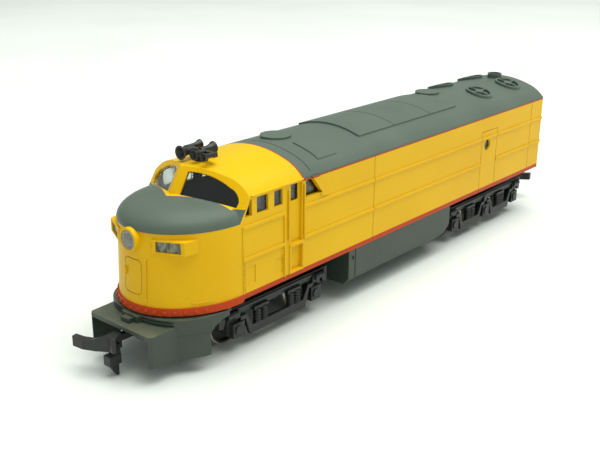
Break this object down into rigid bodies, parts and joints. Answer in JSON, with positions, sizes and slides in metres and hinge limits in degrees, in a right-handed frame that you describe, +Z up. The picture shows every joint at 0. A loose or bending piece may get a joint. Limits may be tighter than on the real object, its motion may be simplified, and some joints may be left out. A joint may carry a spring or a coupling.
{
  "type": "model diesel locomotive",
  "caption": "Model railway diesel locomotive: rounded-nose body shell, skirted pilot, under-floor tank, two swivelling trucks, geared electric motor and swinging hook couplers.",
  "frame": {"origin": "centre of the plan outline on the plane the wheel flanges stand on", "axes": "+X towards the nose, +Y to the locomotive's left, +Z up"},
  "size_m": [0.215, 0.0376, 0.0556],
  "materials": {
    "body_shell": "satin painted styrene",
    "grey_plastic": "satin",
    "black_plastic": "satin",
    "clear_plastic": "polished",
    "bulb_glass": "polished",
    "steel": "satin",
    "ballast_steel": "rough",
    "core_steel": "satin",
    "magnet": "matte",
    "wheel_metal": "polished",
    "bronze": "satin",
    "brass": "satin",
    "copper_wire": "satin",
    "carbon": "matte",
    "gear_plastic": "satin"
  },
  "bodies": {
    "body": {"body_shell": "body_shell", "windshield_glazing": "clear_plastic", "side_glazing_left": "clear_plastic", "side_glazing_right": "clear_plastic", "headlight_lens": "clear_plastic", "number_board_lenses": "clear_plastic", "headlight_bulb": "bulb_glass", "horn_cluster": "black_plastic", "lamp_holder": "bronze", "chassis_frame": "black_plastic", "ballast_weight": "ballast_steel", "fuel_tank": "grey_plastic", "pilot": "grey_plastic", "body_screws": "steel", "front_pivot_screw": "steel"},
    "front_truck": {"front_truck_frame": "black_plastic", "front_pickup_strips": "bronze", "front_sideframe_left": "black_plastic", "front_sideframe_right": "black_plastic", "front_coupler_lid": "black_plastic"},
    "front_coupler": {"front_coupler": "black_plastic"},
    "front_wheelset_1": {"front_truck_axle_1": "steel", "front_truck_wheels_1": "wheel_metal"},
    "front_wheelset_2": {"front_truck_axle_2": "steel", "front_truck_wheels_2": "wheel_metal"},
    "rear_truck": {"rear_truck_frame": "black_plastic", "rear_pickup_strips": "bronze", "rear_sideframe_left": "black_plastic", "rear_sideframe_right": "black_plastic", "rear_coupler_lid": "black_plastic", "gear_cover": "black_plastic", "gear_pins": "steel", "turntable": "black_plastic", "turntable_screws": "steel", "motor_housing": "steel", "motor_magnets": "magnet", "brush_plate": "black_plastic", "motor_brushes": "carbon", "brush_springs": "bronze"},
    "rear_coupler": {"rear_coupler": "black_plastic"},
    "rear_wheelset_1": {"rear_truck_axle_1": "steel", "rear_truck_wheels_1": "wheel_metal", "axle_gear_front": "gear_plastic"},
    "rear_wheelset_2": {"rear_truck_axle_2": "steel", "rear_truck_wheels_2": "wheel_metal"},
    "rear_wheelset_3": {"rear_truck_axle_3": "steel", "rear_truck_wheels_3": "wheel_metal", "axle_gear_rear": "gear_plastic"},
    "armature": {"armature_shaft": "steel", "armature_core": "core_steel", "armature_windings": "copper_wire", "commutator": "copper_wire", "motor_pinion": "brass"},
    "first_gear": {"first_reduction_gear": "gear_plastic"},
    "second_gear": {"second_reduction_gear": "gear_plastic"},
    "inner_idler_front": {"inner_idler_front": "gear_plastic"},
    "outer_idler_front": {"outer_idler_front": "gear_plastic"},
    "inner_idler_rear": {"inner_idler_rear": "gear_plastic"},
    "outer_idler_rear": {"outer_idler_rear": "gear_plastic"}
  },
  "joints": [
    {"name": "front_truck_swivel", "type": "hinge", "parent": "body", "child": "front_truck", "pos_m": [0.0555, 0, 0.0146], "axis": [0, 0, 1], "range_deg": [-8, 8]},
    {"name": "rear_truck_swivel", "type": "hinge", "parent": "body", "child": "rear_truck", "pos_m": [-0.0615, 0, 0.0164], "axis": [0, 0, 1], "range_deg": [-8, 8]},
    {"name": "front_coupler_swing", "type": "hinge", "parent": "front_truck", "child": "front_coupler", "pos_m": [0.0915, 0, 0.0104], "axis": [0, 0, 1], "range_deg": [-8, 8]},
    {"name": "rear_coupler_swing", "type": "hinge", "parent": "rear_truck", "child": "rear_coupler", "pos_m": [-0.0915, 0, 0.0104], "axis": [0, 0, 1], "range_deg": [-8, 8]},
    {"name": "armature_spin", "type": "hinge", "parent": "rear_truck", "child": "armature", "pos_m": [-0.0615, 0, 0.0286], "axis": [0, 1, 0], "continuous": true},
    {"name": "first_gear_spin", "type": "hinge", "parent": "rear_truck", "child": "first_gear", "pos_m": [-0.0615, 0.004, 0.0226], "axis": [0, 1, 0], "continuous": true},
    {"name": "second_gear_spin", "type": "hinge", "parent": "rear_truck", "child": "second_gear", "pos_m": [-0.0615, 0.004, 0.0146], "axis": [0, 1, 0], "continuous": true},
    {"name": "front_wheelset_1_spin", "type": "hinge", "parent": "front_truck", "child": "front_wheelset_1", "pos_m": [0.07185, 0, 0.00675], "axis": [0, 1, 0], "continuous": true},
    {"name": "front_wheelset_2_spin", "type": "hinge", "parent": "front_truck", "child": "front_wheelset_2", "pos_m": [0.03915, 0, 0.00675], "axis": [0, 1, 0], "continuous": true},
    {"name": "rear_wheelset_1_spin", "type": "hinge", "parent": "rear_truck", "child": "rear_wheelset_1", "pos_m": [-0.0395, 0, 0.00675], "axis": [0, 1, 0], "continuous": true},
    {"name": "rear_wheelset_2_spin", "type": "hinge", "parent": "rear_truck", "child": "rear_wheelset_2", "pos_m": [-0.0615, 0, 0.00675], "axis": [0, 1, 0], "continuous": true},
    {"name": "rear_wheelset_3_spin", "type": "hinge", "parent": "rear_truck", "child": "rear_wheelset_3", "pos_m": [-0.0835, 0, 0.00675], "axis": [0, 1, 0], "continuous": true},
    {"name": "inner_idler_front_spin", "type": "hinge", "parent": "rear_truck", "child": "inner_idler_front", "pos_m": [-0.05544, 0.0032, 0.01036], "axis": [0, 1, 0], "continuous": true},
    {"name": "outer_idler_front_spin", "type": "hinge", "parent": "rear_truck", "child": "outer_idler_front", "pos_m": [-0.04769, 0.0032, 0.00711], "axis": [0, 1, 0], "continuous": true},
    {"name": "inner_idler_rear_spin", "type": "hinge", "parent": "rear_truck", "child": "inner_idler_rear", "pos_m": [-0.06756, 0.0032, 0.01036], "axis": [0, 1, 0], "continuous": true},
    {"name": "outer_idler_rear_spin", "type": "hinge", "parent": "rear_truck", "child": "outer_idler_rear", "pos_m": [-0.07531, 0.0032, 0.00711], "axis": [0, 1, 0], "continuous": true}
  ],
  "couplings": [
    {"joint": "first_gear_spin", "follows": "armature_spin", "ratio": -0.5},
    {"joint": "second_gear_spin", "follows": "armature_spin", "ratio": 0.16667},
    {"joint": "inner_idler_front_spin", "follows": "armature_spin", "ratio": -0.12698},
    {"joint": "outer_idler_front_spin", "follows": "armature_spin", "ratio": 0.12698},
    {"joint": "rear_wheelset_1_spin", "follows": "armature_spin", "ratio": -0.13333},
    {"joint": "inner_idler_rear_spin", "follows": "armature_spin", "ratio": -0.12698},
    {"joint": "outer_idler_rear_spin", "follows": "armature_spin", "ratio": 0.12698},
    {"joint": "rear_wheelset_3_spin", "follows": "armature_spin", "ratio": -0.13333}
  ]
}
